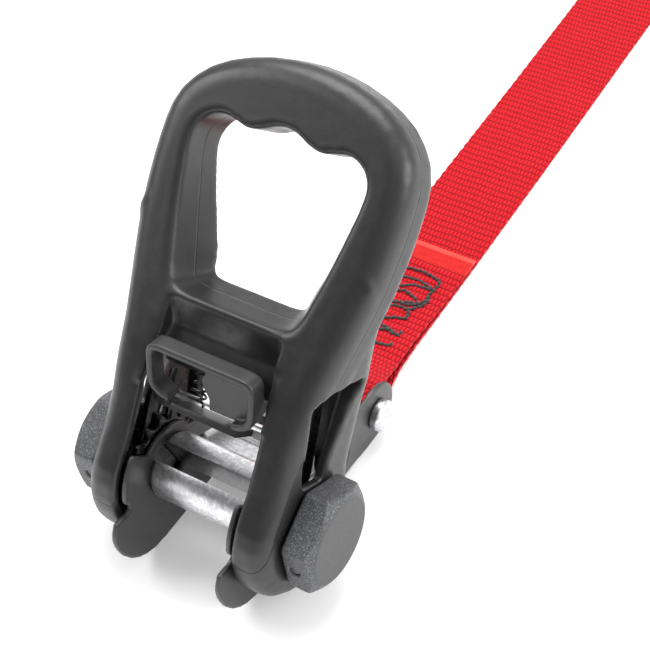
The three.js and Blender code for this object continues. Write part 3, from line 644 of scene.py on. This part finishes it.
SLOT_TURN, SLOT_HALF = math.radians(108.4), 3.4 * MM
across_slot = Vector((0, math.cos(SLOT_TURN + math.pi / 2), math.sin(SLOT_TURN + math.pi / 2)))
BARREL = [(-41, 0.02), (-41, 9.0), (-18.1, 9.0), (-18.1, 9.8), (-17.6, 10.6), (-16.9, 11.0),
          (-16.2, 11.2), (16.2, 11.2), (16.9, 11.0), (17.6, 10.6), (18.1, 9.8), (18.1, 9.0),
          (41, 9.0), (41, 0.02)]
for name, node, sign in (("spindle_bar_front", "spindle_half_front", 1),
                         ("spindle_bar_rear", "spindle_half_rear", -1)):
    bm = turned([(x * MM, r * MM) for x, r in BARREL], 128, tuple(AXIS))
    cut = bmesh.ops.bisect_plane(bm, geom=[*bm.verts, *bm.edges, *bm.faces], dist=1e-7,
                                 plane_co=AXIS + sign * across_slot * SLOT_HALF,
                                 plane_no=sign * across_slot, clear_inner=True)
    rim = [e for e in bm.edges if len(e.link_faces) == 1]
    bmesh.ops.holes_fill(bm, edges=rim, sides=0)
    bmesh.ops.bevel(bm, geom=sharp_edges(bm, 60), offset=0.3 * MM, offset_type="OFFSET",
                    affect="EDGES", segments=2, profile=0.5, material=-1, clamp_overlap=True)
    bmesh.ops.recalc_face_normals(bm, faces=bm.faces)
    put(name, bm, "spindle", "zinc", "spindle_zinc", stands_for=[node], sharp=35)

put("bolt_and_heads", moulded(cad_copy("rear_bolt"), 0.35 * MM, 8), "base", "zinc",
    stands_for=["rear_bolt"])
put("bolt_sleeve", eased(cad_copy("rear_sleeve"), 0.2 * MM), "base", "zinc",
    stands_for=["rear_sleeve"])


# ---- springs -------------------------------------------------------------------------
def spring(name, node, size, start, direction, body):
    """A coil of round wire from start along direction, at its free length."""
    radius, wire, turns, long = size
    bm = bmesh.new()
    ring = bmesh.ops.create_circle(bm, segments=8, radius=wire, cap_ends=True)["verts"]
    bmesh.ops.transform(bm, verts=ring, matrix=Matrix.Translation((radius, 0, wire))
                        @ Matrix.Rotation(math.pi / 2, 4, "X"))
    steps = 20 * turns
    bmesh.ops.spin(bm, geom=bm.faces[:], cent=(0, 0, 0), axis=(0, 0, 1),
                   dvec=(0, 0, (long - 2 * wire) / steps), angle=2 * math.pi * turns,
                   steps=steps, use_merge=False, use_duplicate=False)
    bmesh.ops.recalc_face_normals(bm, faces=bm.faces)
    turn = Vector((0, 0, 1)).rotation_difference(direction).to_matrix().to_4x4()
    bmesh.ops.transform(bm, verts=bm.verts, matrix=Matrix.Translation(start) @ turn)
    # the coils are zinc; their darker zinc is painted shade
    piece = put(name, bm, body, "zinc", "painted_shade_zinc", stands_for=[node], sharp=50)
    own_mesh(piece)


# radius of the coil, radius of its wire, turns and free length
DRIVE_COIL = 2.4 * MM, 0.45 * MM, 8, 20.7 * MM
LOCK_COIL = 2.1 * MM, 0.4 * MM, 6, 10.8 * MM
DRIVE_FOOT = AXIS + ALONG * 23.8 * MM + OUT * 15.2 * MM
for side, offset in (("left", -7.5 * MM), ("right", 7.5 * MM)):
    spring(f"drive_coil_{side}", f"drive_spring_{side}", DRIVE_COIL,
           DRIVE_FOOT + Vector((offset, 0, 0)), ALONG, "handle")
LOCK = math.radians(-25.5)
lock_way = Vector((0, math.cos(LOCK), math.sin(LOCK)))
spring("lock_coil", "lock_pawl_spring", LOCK_COIL, AXIS + lock_way * 36.3 * MM, lock_way,
       "base")

# ---- floor, strap's facts and the end ------------------------------------------------
ground = bmesh.new()
bmesh.ops.create_grid(ground, x_segments=1, y_segments=1, size=4)
floor_mesh = bpy.data.meshes.new("floor")
ground.to_mesh(floor_mesh)
ground.free()
floor = bpy.data.objects.new("floor", floor_mesh)
floor_mesh.materials.append(pale_floor().material)
scene.collection.objects.link(floor)

world = bpy.data.worlds.new("studio")
world.use_nodes = True
sky = Nodes(world.node_tree)
backdrop = sky.tree.nodes["Background"]
outward = sky.node("ShaderNodeTexCoord", out="Generated")
way = sky.node("ShaderNodeVectorMath", {"operation": "DOT_PRODUCT"},
               {0: outward, 1: (0.45, 0.72, 0.53)}, "Value")
glow = sky.span(way, -0.75, 0.75, 0.13, 0.95)
sky.tree.links.new(glow.socket, backdrop.inputs["Strength"])
backdrop.inputs["Color"].default_value = (1, 1, 1, 1)
scene.world = world

free_run = [(drift(y), y, z) for y, z in reversed(ROUTE[9:26])]
